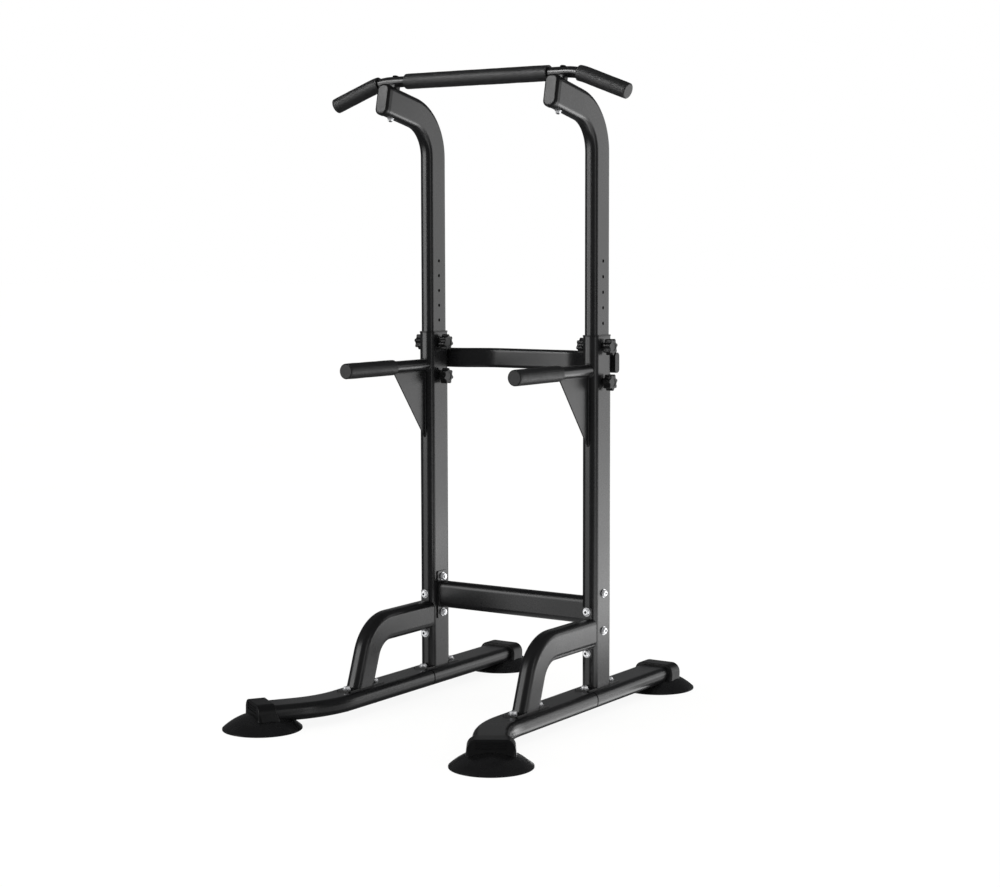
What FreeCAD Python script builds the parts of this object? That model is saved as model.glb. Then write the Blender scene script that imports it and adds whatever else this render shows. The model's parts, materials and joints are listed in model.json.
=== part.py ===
import FreeCAD, Part
import math
import os

# Power tower: a height-adjustable pull-up and dip station standing on four suction feet.
# Millimetres. +X is the right side seen from the front, -Y is the front and +Z is up.
# Every piece is first placed about the line midway between the two uprights (x = y = 0),
# then the export shifts the model so that its origin is the floor centre of its footprint.

# Layout
UPRIGHT_X = 290.0
CUP_RADIUS = 114.0
FRONT_CUP = (391.0, -711.0)
REAR_CUP = (290.0, 370.0)
FOOTPRINT_SHIFT_Y = -(FRONT_CUP[1] + REAR_CUP[1]) / 2

# Flat-oval and round tube stock: (width, depth, corner radius) and wall
WALL = 2.0
UPRIGHT_OVAL = (50.0, 100.0, 20.0)
UPPER_OVAL = (42.0, 90.0, 17.0)
STRUT_OVAL = (50.0, 88.0, 20.0)
BASE_OVAL = (105.0, 48.5, 20.0)
CROSSBAR_OVAL = (40.0, 82.0, 18.0)
BRACE_OVAL = (25.0, 59.5, 11.0)
BAR_RADIUS = 16.0
DIP_RADIUS = 18.5

# Heights
BASE_TOP = 71.5
PLATE = 4.0
UPRIGHT_TOP = 1104.0
STRUT_Z = 237.0
CROSSBAR_Z = 297.0
DIP_Z = 1006.0
BRACE_Z = 1025.0
KNOB_HEIGHTS = {"upper": 1074.5, "lower": 971.5}

# Base tubes: a front and a rear piece meet under the upright's foot, and the front one toes out
BASE_SEAM_Y = -78.0
BASE_SEAM_GAP = 2.4
TOE_ANGLE = math.radians(33.0)
TOE_RADIUS = 280.0
BASE_END_PAST_CUP = 24.0
JOINER_FRONT_Y = -175.0
JOINER_REAR_Y = 110.0
UPRIGHT_BOLT_Y = (-66.0, 80.0)
STRUT_BOLT_Y = (-450.0, -315.0)
PLATE_MARGIN = 18.0

# Suction feet
CUP_LIP = 3.0
CUP_TOP_Z = 48.0
CUP_TOP_RADIUS = 24.0
CUP_SHOULDER = (78.0, 28.5)
CUP_CAVITY_RADIUS = 104.0
CUP_CAVITY_DEPTH = 11.0
CUP_CAVITY_MIDDLE = (0.6, 0.75)
CAP_TOP_Z = 79.0
CAP_FRONT = 30.0
CAP_BACK = -22.0
CAP_WIDTH = 131.0
CAP_SHOULDER = 27.0
CAP_EDGE = 3.0
CAP_SKIRT_WIDTH = 137.0
CAP_SKIRT_FRONT = 3.0
CAP_SKIRT_BACK = 17.0
CAP_SKIRT_CORNER = (14.0, 6.0)
CAP_SKIRT_Z = 27.0
CAP_WAIST_Z = 56.0
PANEL_BOTTOM_Z = 51.0
PANEL_PITCH = 7.5
PANEL_RIB = 2.0
PANEL_ROWS = 3
PANEL_MARGIN = 24.0
PANEL_DEPTH = 2.0
CUP_SCREW_RADIUS = 4.0
SCREW_HOLE_STOP = 10.0

# Upper frame: a tube slides in each upright and bends forward to carry the bar
UPPER_BOTTOM_Z = 807.0
UPPER_BEND_RADIUS = 132.0
UPPER_CORNER_Z = 1741.5
UPPER_TILT = math.radians(12.0)
UPPER_REACH = 262.0
HOLE_PITCH = 45.0
TOP_HOLE_Z = 1321.8
HOLE_COUNT = 5
HOLE_RADIUS = 5.0
END_CAP_GROW = 3.5
END_CAP_DEPTH = 20.0
END_CAP_FACE = 4.0
END_CAP_EDGE = 8.0
BUSHING_GAP = 0.4
BUSHING_SKIRT = 20.0
BUSHING_LIP = 4.0

# Pull-up bar
BAR_BACK = 53.4
SADDLE_THICK = 3.4
SADDLE_SIZE = (28.0, 26.0)
SADDLE_WRAP = 5.0
BAR_BEND_X = 338.6
BAR_BEND_RADIUS = 200.0
BAR_DROP = math.radians(20.7)
BAR_LEAN = math.radians(5.3)
BAR_TIP_X = 504.4
GRIP_RADIUS = 22.7
CENTRE_GRIP_HALF = 247.0
SIDE_GRIP_X = 344.5
GRIP_SHORT = 1.0
GRIP_RIM = 2.4
PLUG_LENGTH = 20.0
PLUG_FACE = 4.0

# Dip handles
DIP_TIP_Y = -441.0
DIP_GRIP_BACK_Y = -212.0
DIP_GRIP_RADIUS = 23.0
GUSSET_THICK = 4.0
GUSSET_BOTTOM_Z = 785.0
GUSSET_FOOT = 1.0
GUSSET_RISE = 6.0

# Rear brace, bent back between the uprights
BRACE_END_X = 323.0
BRACE_BEND_X = (240.0, 150.0)
BRACE_SET_BACK = 50.0
BRACE_BEND_RADIUS = 120.0
BRACE_BOLT_SPREAD = 14.0
BRACE_PLUG_STEM = 12.0

# Struts, from the base up and back to the upright
STRUT_CORNER_Y = -327.0
STRUT_FOOT_Y = -385.0
STRUT_BEND_RADIUS = 104.0
STRUT_BOLT_Z = (301.0, 179.0)
STRUT_COPE_SHORT = 11.0
EAR_WIDTH = 28.0
EAR_MARGIN = 14.0
CROSSBAR_BOLT_Z = (351.0, 240.0)

# Star knobs and the threaded bosses that they screw into
KNOB_RADIUS = 24.5
KNOB_LOBES = 7
KNOB_LOBE_RADIUS = 5.0
KNOB_FLUTE_CENTRE = 26.0
KNOB_HEAD = 23.0
KNOB_FACE = 31.5
KNOB_EDGE = 2.0
KNOB_DISH = 1.2
KNOB_HUB_RADIUS = 12.0
KNOB_GAP = 0.5
STUD_RADIUS = 5.0
STUD_FIT = 0.05
STUD_SHORT_OF_TUBE = 0.35
BOSS_RADIUS = 11.0
BOSS_HEIGHT = 5.0

# Fasteners, by the radius of the shank; the other sizes are multiples of that radius
M10 = 5.0
M8 = 4.0
HEAD = (2.0, 1.3)
MUSHROOM_HEAD = (2.3, 0.75)
HEAD_CROWN = 0.3
MUSHROOM_CROWN = 0.8
SOCKET_FLATS = 1.6
SOCKET_DEPTH = 0.7
WASHER_RADIUS = 2.5
NUT_FLATS = 3.4
NUT_HEIGHT = 1.6
BOLT_OVERRUN = 2.1
HOLE_CLEARANCE = 0.3
WASHER = 2.0
FIT_GAP = 0.1
PLUG_EDGE = 1.2
PLATE_CORNER = 6.0


def vec(x, y, z):
    return FreeCAD.Vector(x, y, z)


X_AXIS = vec(1, 0, 0)
Y_AXIS = vec(0, 1, 0)
Z_AXIS = vec(0, 0, 1)


def fused(shapes):
    """One solid from touching or overlapping solids."""
    whole = shapes[0].multiFuse(shapes[1:])
    return whole.removeSplitter()


def place(shape, origin, across, along):
    """Copy of a shape with its own X turned to `across`, its Z to `along`, moved to `origin`."""
    rotation = FreeCAD.Rotation(across, along.cross(across), along, "ZXY")
    moved = shape.copy()
    moved.Placement = FreeCAD.Placement(origin, rotation).multiply(shape.Placement)
    return moved


def across_of(along):
    """A unit vector square to `along`."""
    other = X_AXIS if abs(along.x) < 0.5 else Y_AXIS
    return other.cross(along).normalize()


def rounded_rect(width, depth, corner):
    """Closed wire in the XY plane about the origin."""
    half_w = width / 2 - corner
    half_d = depth / 2 - corner
    arcs = []
    for index, (sx, sy) in enumerate(((1, 1), (-1, 1), (-1, -1), (1, -1))):
        points = []
        for step in range(3):
            angle = math.pi / 2 * (index + step / 2)
            points.append(vec(sx * half_w + corner * math.cos(angle),
                              sy * half_d + corner * math.sin(angle), 0))
        arcs.append(points)
    edges = []
    for index, points in enumerate(arcs):
        edges.append(Part.Arc(*points).toShape())
        edges.append(Part.makeLine(points[2], arcs[(index + 1) % 4][0]))
    return Part.Wire(edges)


def circle(radius):
    return Part.Wire(Part.makeCircle(radius))


def prism(outline, origin, across, along, length):
    """Straight solid: an XY outline placed at `origin` and pushed `length` along `along`."""
    face = Part.Face(place(outline, origin, across, along))
    return face.extrude(along * length)


def bent_path(points, bend_radius):
    """Wire through the points, with a tangent arc at each corner."""
    edges = []
    start = points[0]
    for before, corner, after in zip(points, points[1:], points[2:]):
        into = (corner - before).normalize()
        out = (after - corner).normalize()
        half_turn = into.getAngle(out) / 2
        reach = bend_radius * math.tan(half_turn)
        rise = bend_radius / math.cos(half_turn) - bend_radius
        middle = corner + (out - into).normalize() * rise
        end = corner + out * reach
        edges.append(Part.makeLine(start, corner - into * reach))
        edges.append(Part.Arc(corner - into * reach, middle, end).toShape())
        start = end
    edges.append(Part.makeLine(start, points[-1]))
    return Part.Wire(edges)


def sweep(outline, points, bend_radius, across):
    """Solid made by carrying an XY outline along a flat bent path."""
    along = (points[1] - points[0]).normalize()
    profile = place(outline, points[0], across, along)
    return bent_path(points, bend_radius).makePipeShell([profile], True, False)


def oval_solid(oval, points, bend_radius, across, inset=0.0):
    """The space inside an oval tube's outline, shrunk all round by `inset`."""
    width, depth, corner = oval
    outline = rounded_rect(width - 2 * inset, depth - 2 * inset, corner - inset)
    return sweep(outline, points, bend_radius, across)


def oval_tube(oval, points, bend_radius, across):
    outer = oval_solid(oval, points, bend_radius, across)
    return outer.cut(oval_solid(oval, points, bend_radius, across, WALL))


def round_tube(radius, points, bend_radius, across):
    outer = sweep(circle(radius), points, bend_radius, across)
    return outer.cut(sweep(circle(radius - WALL), points, bend_radius, across))


def rod(radius, start, end):
    """Solid cylinder between two points."""
    return Part.makeCylinder(radius, start.distanceToPoint(end), start, end - start)


def ring(outer, inner, start, end):
    direction = (end - start).normalize()
    bore = rod(inner, start - direction, end + direction)
    return rod(outer, start, end).cut(bore)


def polygon_plate(points, thickness, direction):
    """Plate from a closed outline, grown half its thickness each way along `direction`."""
    shift = direction * (thickness / 2)
    corners = [point - shift for point in points]
    face = Part.Face(Part.makePolygon(corners + corners[:1]))
    return face.extrude(shift * 2)


def hexagon(across_flats):
    radius = across_flats / math.sqrt(3)
    corners = []
    for step in range(7):
        angle = step * math.pi / 3
        corners.append(vec(radius * math.cos(angle), radius * math.sin(angle), 0))
    return Part.makePolygon(corners)


# Fasteners

def mushroom_bolt(shank, position, direction, length):
    """Bolt with a wide low domed head, its shank along `direction`."""
    head_radius = MUSHROOM_HEAD[0] * shank
    head_height = MUSHROOM_HEAD[1] * shank
    head = rod(head_radius, position - direction * head_height, position)
    crown = [edge for edge in head.Edges
             if edge.BoundBox.Center.distanceToPoint(position) > head_height / 2
             and len(edge.Vertexes) == 1]
    head = head.makeFillet(head_height * MUSHROOM_CROWN, crown)
    return fused([head, rod(shank, position, position + direction * length)])


def bolt(shank, position, direction, length):
    """Round-headed socket bolt whose head sits against `position`, shank along `direction`."""
    head_radius = HEAD[0] * shank
    head_height = HEAD[1] * shank
    across = across_of(direction)
    head = rod(head_radius, position - direction * head_height, position)
    crown = [edge for edge in head.Edges
             if edge.BoundBox.Center.distanceToPoint(position) > head_height / 2
             and len(edge.Vertexes) == 1]
    head = head.makeFillet(head_radius * HEAD_CROWN, crown)
    socket = prism(hexagon(SOCKET_FLATS * shank), position - direction * (head_height + 1),
                   across, direction, head_height * SOCKET_DEPTH + 1)
    return fused([head.cut(socket), rod(shank, position, position + direction * length)])


def washer(shank, position, direction):
    """Washer lying on `position`, its thickness on the side that `direction` points to."""
    return ring(WASHER_RADIUS * shank, shank + HOLE_CLEARANCE, position, position + direction * WASHER)


def nut(shank, position, direction):
    """Hexagon nut sitting on `position`, its height along `direction`."""
    height = NUT_HEIGHT * shank
    body = prism(hexagon(NUT_FLATS * shank), position, across_of(direction), direction, height)
    return body.cut(rod(shank + FIT_GAP, position - direction, position + direction * (height + 1)))


class Fastening:
    """A bolt right through a stack, with a washer under the head and a nut on the far side."""

    def __init__(self, shank, head_face, direction, grip):
        far = head_face + direction * grip
        length = WASHER + grip + WASHER + BOLT_OVERRUN * shank
        self.bolt = bolt(shank, head_face - direction * WASHER, direction, length)
        self.washers = [washer(shank, head_face, direction * -1), washer(shank, far, direction)]
        self.nut = nut(shank, far + direction * WASHER, direction)
        self.hole = rod(shank + HOLE_CLEARANCE, head_face - direction * 1, far + direction * 1)


def both_sides(solid):
    return [solid, mirrored(solid)]


def mirrored(solid):
    return solid.mirror(vec(0, 0, 0), X_AXIS)


# Places of the bolts on the right-hand side

def base_fastenings():
    grip = PLATE + BASE_OVAL[1]
    places = UPRIGHT_BOLT_Y + STRUT_BOLT_Y
    top = BASE_TOP + PLATE
    return [Fastening(M10, vec(UPRIGHT_X, y, top), Z_AXIS * -1, grip) for y in places]


def crossbar_fastenings():
    outer = UPRIGHT_X + UPRIGHT_OVAL[0] / 2
    grip = UPRIGHT_OVAL[0] + PLATE
    return [Fastening(M10, vec(outer, 0, z), X_AXIS * -1, grip) for z in CROSSBAR_BOLT_Z]


def strut_fastenings():
    front = -UPRIGHT_OVAL[1] / 2 - PLATE
    grip = UPRIGHT_OVAL[1] + PLATE
    return [Fastening(M10, vec(UPRIGHT_X, front, z), Y_AXIS, grip) for z in STRUT_BOLT_Z]


BASE_FASTENINGS = base_fastenings()
CROSSBAR_FASTENINGS = crossbar_fastenings()
STRUT_FASTENINGS = strut_fastenings()


def drilled(solid, fastenings):
    return solid.cut([item.hole for item in fastenings])


# Base tubes and feet

def front_direction():
    return vec(math.sin(TOE_ANGLE), -math.cos(TOE_ANGLE), 0)


def base_centre_z():
    return BASE_TOP - BASE_OVAL[1] / 2


def front_base_points():
    z = base_centre_z()
    cup = vec(FRONT_CUP[0], FRONT_CUP[1], z)
    toe_corner_y = FRONT_CUP[1] + (FRONT_CUP[0] - UPRIGHT_X) / math.tan(TOE_ANGLE)
    return [vec(UPRIGHT_X, BASE_SEAM_Y, z), vec(UPRIGHT_X, toe_corner_y, z),
            cup + front_direction() * BASE_END_PAST_CUP]


def rear_base_points():
    z = base_centre_z()
    return [vec(UPRIGHT_X, BASE_SEAM_Y + BASE_SEAM_GAP, z),
            vec(UPRIGHT_X, REAR_CUP[1] + BASE_END_PAST_CUP, z)]


def base_tube(points):
    return oval_tube(BASE_OVAL, points, TOE_RADIUS, X_AXIS)


def base_joiner():
    """Sleeve inside the base tubes that bridges their seam."""
    z = base_centre_z()
    points = [vec(UPRIGHT_X, JOINER_FRONT_Y, z), vec(UPRIGHT_X, JOINER_REAR_Y, z)]
    inset = WALL + 0.2
    outer = oval_solid(BASE_OVAL, points, 0, X_AXIS, inset)
    return drilled(outer.cut(oval_solid(BASE_OVAL, points, 0, X_AXIS, inset + WALL)), BASE_FASTENINGS)


def cup_at(centre):
    """Suction cup without its pocket: a shallow dome that is hollow beneath."""
    shoulder_r, shoulder_z = CUP_SHOULDER
    rim_top = vec(CUP_RADIUS, 0, CUP_LIP)
    crown = vec(CUP_TOP_RADIUS, 0, CUP_TOP_Z - 1)
    out, up = CUP_CAVITY_MIDDLE
    cavity_middle = vec(CUP_CAVITY_RADIUS * out, 0, CUP_CAVITY_DEPTH * up)
    edges = [
        Part.makeLine(vec(CUP_CAVITY_RADIUS, 0, 0), vec(CUP_RADIUS, 0, 0)),
        Part.makeLine(vec(CUP_RADIUS, 0, 0), rim_top),
        Part.Arc(rim_top, vec(shoulder_r, 0, shoulder_z), crown).toShape(),
        Part.makeLine(crown, vec(0, 0, CUP_TOP_Z)),
        Part.makeLine(vec(0, 0, CUP_TOP_Z), vec(0, 0, CUP_CAVITY_DEPTH)),
        Part.Arc(vec(0, 0, CUP_CAVITY_DEPTH), cavity_middle, vec(CUP_CAVITY_RADIUS, 0, 0)).toShape(),
    ]
    dome = Part.Face(Part.Wire(edges)).revolve(vec(0, 0, 0), Z_AXIS, 360)
    dome.translate(centre)
    return dome


def cap_body(centre, direction):
    """Foot cap before its pocket is cut: a rounded block on a skirt that flares over the cup."""
    across = vec(-direction.y, direction.x, 0)
    floor_centre = vec(centre.x, centre.y, 0)
    middle = floor_centre + direction * ((CAP_FRONT + CAP_BACK) / 2)
    length = CAP_FRONT - CAP_BACK
    arch = rounded_rect(CAP_WIDTH, 2 * (CAP_TOP_Z - base_centre_z()), CAP_SHOULDER)
    back = centre + direction * CAP_BACK
    block = prism(arch, vec(back.x, back.y, base_centre_z()), across, direction, length)
    mid_block = middle + Z_AXIS * base_centre_z()
    rims = [edge for edge in block.Edges
            if abs(abs((edge.BoundBox.Center - mid_block).dot(direction)) - length / 2) < CAP_EDGE]
    block = block.makeFillet(CAP_EDGE, rims)
    low_middle = middle + direction * ((CAP_SKIRT_FRONT - CAP_SKIRT_BACK) / 2)
    low_corner, high_corner = CAP_SKIRT_CORNER
    skirt_low = rounded_rect(length + CAP_SKIRT_FRONT + CAP_SKIRT_BACK, CAP_SKIRT_WIDTH, low_corner)
    skirt_high = rounded_rect(length, CAP_WIDTH - 1, high_corner)
    skirt = Part.makeLoft([place(skirt_low, low_middle + Z_AXIS * CAP_SKIRT_Z, direction, Z_AXIS),
                           place(skirt_high, middle + Z_AXIS * CAP_WAIST_Z, direction, Z_AXIS)], True)
    body = fused([block, skirt])
    return body.cut(front_panel(centre, direction, across))


def front_panel(centre, direction, across):
    """Shallow grooves side by side in the cap's front face, with ribs between them."""
    groove = rounded_rect(CAP_WIDTH - 2 * PANEL_MARGIN, PANEL_PITCH - PANEL_RIB, PANEL_RIB)
    face = vec(centre.x, centre.y, 0) + direction * (CAP_FRONT - PANEL_DEPTH)
    cuts = []
    for row in range(PANEL_ROWS):
        origin = face + Z_AXIS * (PANEL_BOTTOM_Z + (row + 0.5) * PANEL_PITCH)
        cuts.append(prism(groove, origin, across, direction, 2 * PANEL_DEPTH + CAP_SKIRT_FRONT))
    return Part.makeCompound(cuts)


def foot(cup_centre, direction, tube_points):
    """Cap, cup and cup screw for one end of a base tube."""
    centre = vec(cup_centre[0], cup_centre[1], 0)
    tube_space = oval_solid(BASE_OVAL, tube_points, TOE_RADIUS, X_AXIS, -FIT_GAP)
    dome = cup_at(centre)
    screw_hole = rod(CUP_SCREW_RADIUS + HOLE_CLEARANCE, centre, centre + Z_AXIS * CUP_TOP_Z)
    cup = dome.cut([tube_space, screw_hole])
    cap = cap_body(centre, direction).cut([tube_space, dome, below_cup(centre)])
    screw = cup_screw(centre)
    return largest(cap), largest(cup), screw


def below_cup(centre):
    """The cylinder of space under the middle of the dome, which the cap stays out of."""
    return rod(CUP_RADIUS, centre - Z_AXIS, centre + Z_AXIS * CUP_CAVITY_DEPTH)


def largest(shape):
    return max(shape.Solids, key=lambda solid: solid.Volume)


def cup_screw(centre):
    """Screw up through the cup into the floor wall of the base tube."""
    underside = centre + Z_AXIS * CUP_CAVITY_DEPTH
    tube_floor = BASE_TOP - BASE_OVAL[1]
    return bolt(CUP_SCREW_RADIUS, underside, Z_AXIS, tube_floor + 3 * WALL - CUP_CAVITY_DEPTH)


# Uprights and what is welded to them

def upright_points():
    return [vec(UPRIGHT_X, 0, BASE_TOP + PLATE), vec(UPRIGHT_X, 0, UPRIGHT_TOP)]


def knob_axes():
    """Name, centre on the tube's flat and outward direction of each right-hand knob."""
    half = UPRIGHT_OVAL[0] / 2
    for level, z in KNOB_HEIGHTS.items():
        for face, sign in (("outer", 1), ("inner", -1)):
            outward = X_AXIS * sign
            yield level + "_" + face, vec(UPRIGHT_X, 0, z) + outward * half, outward


def upright():
    tube = oval_tube(UPRIGHT_OVAL, upright_points(), 0, X_AXIS)
    front, back = UPRIGHT_BOLT_Y
    length = back - front + 2 * PLATE_MARGIN
    base_plate = prism(rounded_rect(UPRIGHT_OVAL[0], length, PLATE_CORNER),
                       vec(UPRIGHT_X, (front + back) / 2, BASE_TOP), X_AXIS, Z_AXIS, PLATE)
    body = fused([tube, base_plate])
    body = drilled(body, BASE_FASTENINGS[:2] + CROSSBAR_FASTENINGS + STRUT_FASTENINGS)
    holes = []
    for _, centre, outward in knob_axes():
        holes.append(rod(STUD_RADIUS + 0.5, centre - outward * 5, centre + outward))
    for x, z in brace_bolt_places():
        y = UPRIGHT_OVAL[1] / 2
        holes.append(rod(M8 + FIT_GAP, vec(x, y - 5, z), vec(x, y + 1, z)))
    return body.cut(holes)


def guide_bushing():
    """Plastic collar in the top of the upright that the upper tube slides through."""
    width, depth, corner = UPRIGHT_OVAL
    top = vec(UPRIGHT_X, 0, UPRIGHT_TOP)
    lip = prism(rounded_rect(width + 2, depth + 2, corner + 1), top, X_AXIS, Z_AXIS, BUSHING_LIP)
    inner = WALL + FIT_GAP
    skirt = prism(rounded_rect(width - 2 * inner, depth - 2 * inner, corner - inner),
                  top - Z_AXIS * BUSHING_SKIRT, X_AXIS, Z_AXIS, BUSHING_SKIRT + 1)
    bore_points = [top - Z_AXIS * (BUSHING_SKIRT + 1), top + Z_AXIS * (BUSHING_LIP + 1)]
    return fused([lip, skirt]).cut(oval_solid(UPPER_OVAL, bore_points, 0, X_AXIS, -BUSHING_GAP))


def upright_space():
    return oval_solid(UPRIGHT_OVAL, upright_points(), 0, X_AXIS)


def dip_handle():
    end = vec(UPRIGHT_X, DIP_TIP_Y + PLUG_FACE, DIP_Z)
    start = vec(UPRIGHT_X, -UPRIGHT_OVAL[1] / 2 + UPRIGHT_OVAL[2], DIP_Z)
    tube = round_tube(DIP_RADIUS, [start, end], 0, X_AXIS)
    return largest(tube.cut(upright_space()))


def dip_grip():
    front = vec(UPRIGHT_X, DIP_TIP_Y + GRIP_SHORT, DIP_Z)
    back = vec(UPRIGHT_X, DIP_GRIP_BACK_Y, DIP_Z)
    cap_seat = rod(DIP_GRIP_RADIUS - GRIP_RIM, front - Y_AXIS, front + Y_AXIS * (PLUG_FACE - GRIP_SHORT))
    return ring(DIP_GRIP_RADIUS, DIP_RADIUS + FIT_GAP, front, back).cut(cap_seat)


def tube_plug(bore_radius, face_radius, tip, inward):
    """Push-in plug: a round face that covers the tube's end and a stem inside its bore."""
    face = rod(face_radius, tip, tip + inward * PLUG_FACE)
    edge = [item for item in face.Edges
            if len(item.Vertexes) == 1 and item.BoundBox.Center.distanceToPoint(tip) < 1]
    face = face.makeFillet(PLUG_EDGE, edge)
    stem = rod(bore_radius - FIT_GAP, tip + inward * (PLUG_FACE - 1), tip + inward * PLUG_LENGTH)
    return fused([face, stem])


def dip_plug():
    tip = vec(UPRIGHT_X, DIP_TIP_Y, DIP_Z)
    return tube_plug(DIP_RADIUS - WALL, DIP_GRIP_RADIUS - GRIP_RIM - FIT_GAP, tip, Y_AXIS)


def gusset():
    front_face = -UPRIGHT_OVAL[1] / 2
    top = DIP_Z - DIP_RADIUS + GUSSET_RISE
    points = [vec(UPRIGHT_X, front_face, GUSSET_BOTTOM_Z),
              vec(UPRIGHT_X, front_face, top),
              vec(UPRIGHT_X, DIP_GRIP_BACK_Y + GUSSET_FOOT, top),
              vec(UPRIGHT_X, front_face - GUSSET_FOOT, GUSSET_BOTTOM_Z)]
    plate = polygon_plate(points, GUSSET_THICK, X_AXIS)
    handle_space = rod(DIP_RADIUS, vec(UPRIGHT_X, DIP_TIP_Y, DIP_Z), vec(UPRIGHT_X, 0, DIP_Z))
    return largest(plate.cut(handle_space))


def knob_boss(centre, outward):
    """Threaded boss welded to the upright's flat, with the stud's running fit as its bore."""
    return ring(BOSS_RADIUS, STUD_RADIUS + STUD_FIT, centre, centre + outward * BOSS_HEIGHT)


def lobed_outline():
    """Closed wire of rounded lobes, with flutes between them that run into them smoothly."""
    half_pitch = math.pi / KNOB_LOBES
    lobe_centre = KNOB_RADIUS - KNOB_LOBE_RADIUS
    lobe = vec(lobe_centre, 0, 0)
    flute = vec(KNOB_FLUTE_CENTRE * math.cos(half_pitch), KNOB_FLUTE_CENTRE * math.sin(half_pitch), 0)
    touch = lobe + (flute - lobe).normalize() * KNOB_LOBE_RADIUS
    valley = flute * (1 - flute.distanceToPoint(touch) / KNOB_FLUTE_CENTRE)
    edges = []
    for index in range(KNOB_LOBES):
        turned = FreeCAD.Rotation(Z_AXIS, math.degrees(2 * half_pitch * index))
        onward = FreeCAD.Rotation(Z_AXIS, math.degrees(2 * half_pitch * (index + 1)))
        low_touch = vec(touch.x, -touch.y, 0)
        tip = vec(KNOB_RADIUS, 0, 0)
        edges.append(Part.Arc(*[turned.multVec(p) for p in (low_touch, tip, touch)]).toShape())
        edges.append(Part.Arc(turned.multVec(touch), turned.multVec(valley),
                              onward.multVec(low_touch)).toShape())
    return Part.Wire(edges)


def knob(centre, outward):
    """Star knob with its stud, which stops just short of the upper tube."""
    face = centre + outward * KNOB_FACE
    head_back = face - outward * KNOB_HEAD
    head = prism(lobed_outline(), head_back, across_of(outward), outward, KNOB_HEAD)
    rims = [edge for edge in head.Edges
            if abs(edge.BoundBox.XLength) < 1e-3]
    head = head.makeFillet(KNOB_EDGE, rims)
    dish = rod(KNOB_HUB_RADIUS, face - outward * KNOB_DISH, face + outward)
    head = head.cut(dish)
    hub = rod(KNOB_HUB_RADIUS, centre + outward * (BOSS_HEIGHT + KNOB_GAP), head_back + outward * 2)
    wall_to_tube = (UPRIGHT_OVAL[0] - UPPER_OVAL[0]) / 2
    tip = centre - outward * (wall_to_tube - STUD_SHORT_OF_TUBE)
    return fused([head, hub, rod(STUD_RADIUS, tip, head_back + outward * 3)])


# Struts, crossbar and rear brace

def strut():
    """Bent tube shaped to the upright's rounded front, with its bolting ears and its foot plate."""
    front_face = -UPRIGHT_OVAL[1] / 2
    plate_top = BASE_TOP + PLATE
    corner = vec(UPRIGHT_X, STRUT_CORNER_Y, STRUT_Z)
    foot_end = vec(UPRIGHT_X, STRUT_FOOT_Y, plate_top)
    overrun = (foot_end - corner).normalize() * (STRUT_OVAL[1] / 2)
    top_end = vec(UPRIGHT_X, front_face + UPRIGHT_OVAL[2] - STRUT_COPE_SHORT, STRUT_Z)
    tube = oval_tube(STRUT_OVAL, [top_end, corner, foot_end + overrun], STRUT_BEND_RADIUS, X_AXIS)
    cope = oval_solid(UPRIGHT_OVAL, upright_points(), 0, X_AXIS, -FIT_GAP)
    reach = 2 * STRUT_OVAL[1]
    below = Part.makeBox(2 * reach, 2 * reach, reach,
                         vec(UPRIGHT_X - reach, STRUT_FOOT_Y - reach, plate_top - reach))
    ear_height = STRUT_BOLT_Z[0] - STRUT_BOLT_Z[1] + 2 * EAR_MARGIN
    ears = prism(rounded_rect(EAR_WIDTH, ear_height, PLATE_CORNER),
                 vec(UPRIGHT_X, front_face - PLATE, sum(STRUT_BOLT_Z) / 2), X_AXIS, Y_AXIS, PLATE)
    front, back = STRUT_BOLT_Y
    foot_plate = prism(rounded_rect(UPRIGHT_OVAL[0], back - front + 2 * PLATE_MARGIN, PLATE_CORNER),
                       vec(UPRIGHT_X, (front + back) / 2, BASE_TOP), X_AXIS, Z_AXIS, PLATE)
    body = fused([largest(tube.cut([below, cope])), ears, foot_plate])
    return drilled(body, STRUT_FASTENINGS + BASE_FASTENINGS[2:])


def crossbar():
    """Tube between the uprights with a flange welded to each end."""
    inner_face = UPRIGHT_X - UPRIGHT_OVAL[0] / 2
    half = inner_face - PLATE
    points = [vec(-half, 0, CROSSBAR_Z), vec(half, 0, CROSSBAR_Z)]
    tube = oval_tube(CROSSBAR_OVAL, points, 0, Y_AXIS)
    height = CROSSBAR_BOLT_Z[0] - CROSSBAR_BOLT_Z[1] + 2 * PLATE_MARGIN
    flange = prism(rounded_rect(UPRIGHT_OVAL[0], height, PLATE_CORNER),
                   vec(half, 0, sum(CROSSBAR_BOLT_Z) / 2), Y_AXIS, X_AXIS, PLATE)
    flange = drilled(flange, CROSSBAR_FASTENINGS)
    return fused([tube] + both_sides(flange))


def brace_points():
    behind = UPRIGHT_OVAL[1] / 2 + BRACE_OVAL[0] / 2
    end_x = BRACE_END_X - PLUG_FACE
    outer_x, inner_x = BRACE_BEND_X
    right = [vec(end_x, behind, BRACE_Z), vec(outer_x, behind, BRACE_Z),
             vec(inner_x, behind + BRACE_SET_BACK, BRACE_Z)]
    left = [vec(-point.x, point.y, point.z) for point in reversed(right)]
    return right + left


def brace_bolt_places():
    return [(UPRIGHT_X, BRACE_Z - BRACE_BOLT_SPREAD), (UPRIGHT_X, BRACE_Z + BRACE_BOLT_SPREAD)]


def brace_bolts_and_washers():
    """Right-hand bolts from behind, screwed into the upright's rear wall."""
    back = UPRIGHT_OVAL[1] / 2 + BRACE_OVAL[0]
    bolts = []
    washers = []
    for x, z in brace_bolt_places():
        face = vec(x, back, z)
        length = WASHER + BRACE_OVAL[0] + 1.5 * WALL
        bolts.append(bolt(M8, face + Y_AXIS * WASHER, Y_AXIS * -1, length))
        washers.append(washer(M8, face, Y_AXIS))
    return bolts, washers


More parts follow.
